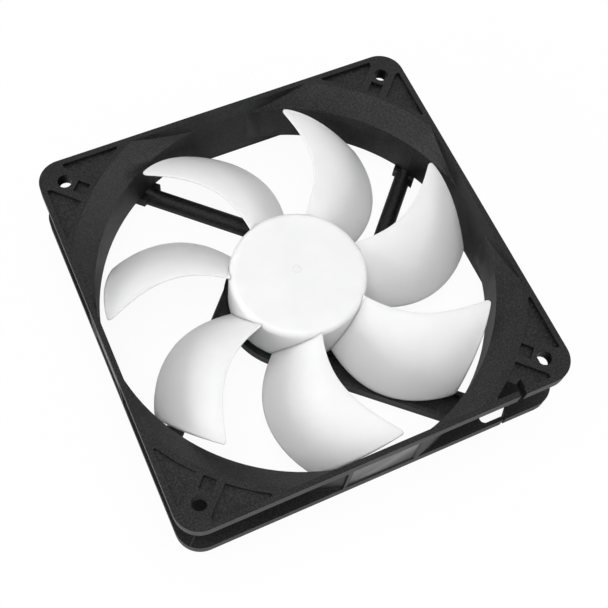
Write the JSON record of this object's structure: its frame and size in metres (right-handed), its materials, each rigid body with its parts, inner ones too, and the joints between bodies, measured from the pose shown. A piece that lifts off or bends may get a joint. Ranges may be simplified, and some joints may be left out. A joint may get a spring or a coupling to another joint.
{
  "type": "axial case fan",
  "caption": "Square axial case fan: black moulded frame with corner screw holes and a pinwheel of struts, and a white bladed impeller turning on a hub motor.",
  "frame": {"origin": "on the fan's axis, in the exhaust face on the strut side", "axes": "+Z along the fan's axis, out of the inlet face; X and Y along the frame's sides, the lead slot near the +X end of the -Y side"},
  "size_m": [0.12, 0.12, 0.025],
  "materials": {
    "frame_plastic": "fine grained black moulding",
    "impeller_plastic": "satin white moulding",
    "brass": "turned",
    "bronze": "sintered, oil filled",
    "nylon": "natural",
    "board": "green solder mask",
    "chip": "moulded package",
    "ceramic": "fired ceramic",
    "bobbin": "moulded nylon",
    "lamination": "stamped electrical steel",
    "copper": "enamelled copper wire",
    "tin": "tinned",
    "yoke_steel": "drawn steel, zinc plated",
    "magnet": "rubber-bonded ferrite",
    "shaft_steel": "ground"
  },
  "bodies": {
    "stator": {"frame": "frame_plastic", "bearing_tube": "brass", "end_plug": "frame_plastic", "thrust_pad": "nylon", "bearing_sleeve": "bronze", "oil_washer": "nylon", "circuit_board": "board", "driver_ic": "chip", "capacitor": "ceramic", "diode": "chip", "lower_insulator": "bobbin", "stator_core": "lamination", "upper_insulator": "bobbin", "winding_1": "copper", "winding_2": "copper", "winding_3": "copper", "winding_4": "copper", "pin_1": "tin", "pin_2": "tin", "pin_3": "tin"},
    "rotor": {"impeller": "impeller_plastic", "rotor_yoke": "yoke_steel", "ring_magnet": "magnet", "shaft_bush": "brass", "shaft": "shaft_steel", "retaining_ring": "nylon"}
  },
  "joints": [
    {"name": "rotor_spin", "type": "hinge", "parent": "stator", "child": "rotor", "pos_m": [0, 0, 0.01], "axis": [0, 0, 1], "continuous": true}
  ]
}
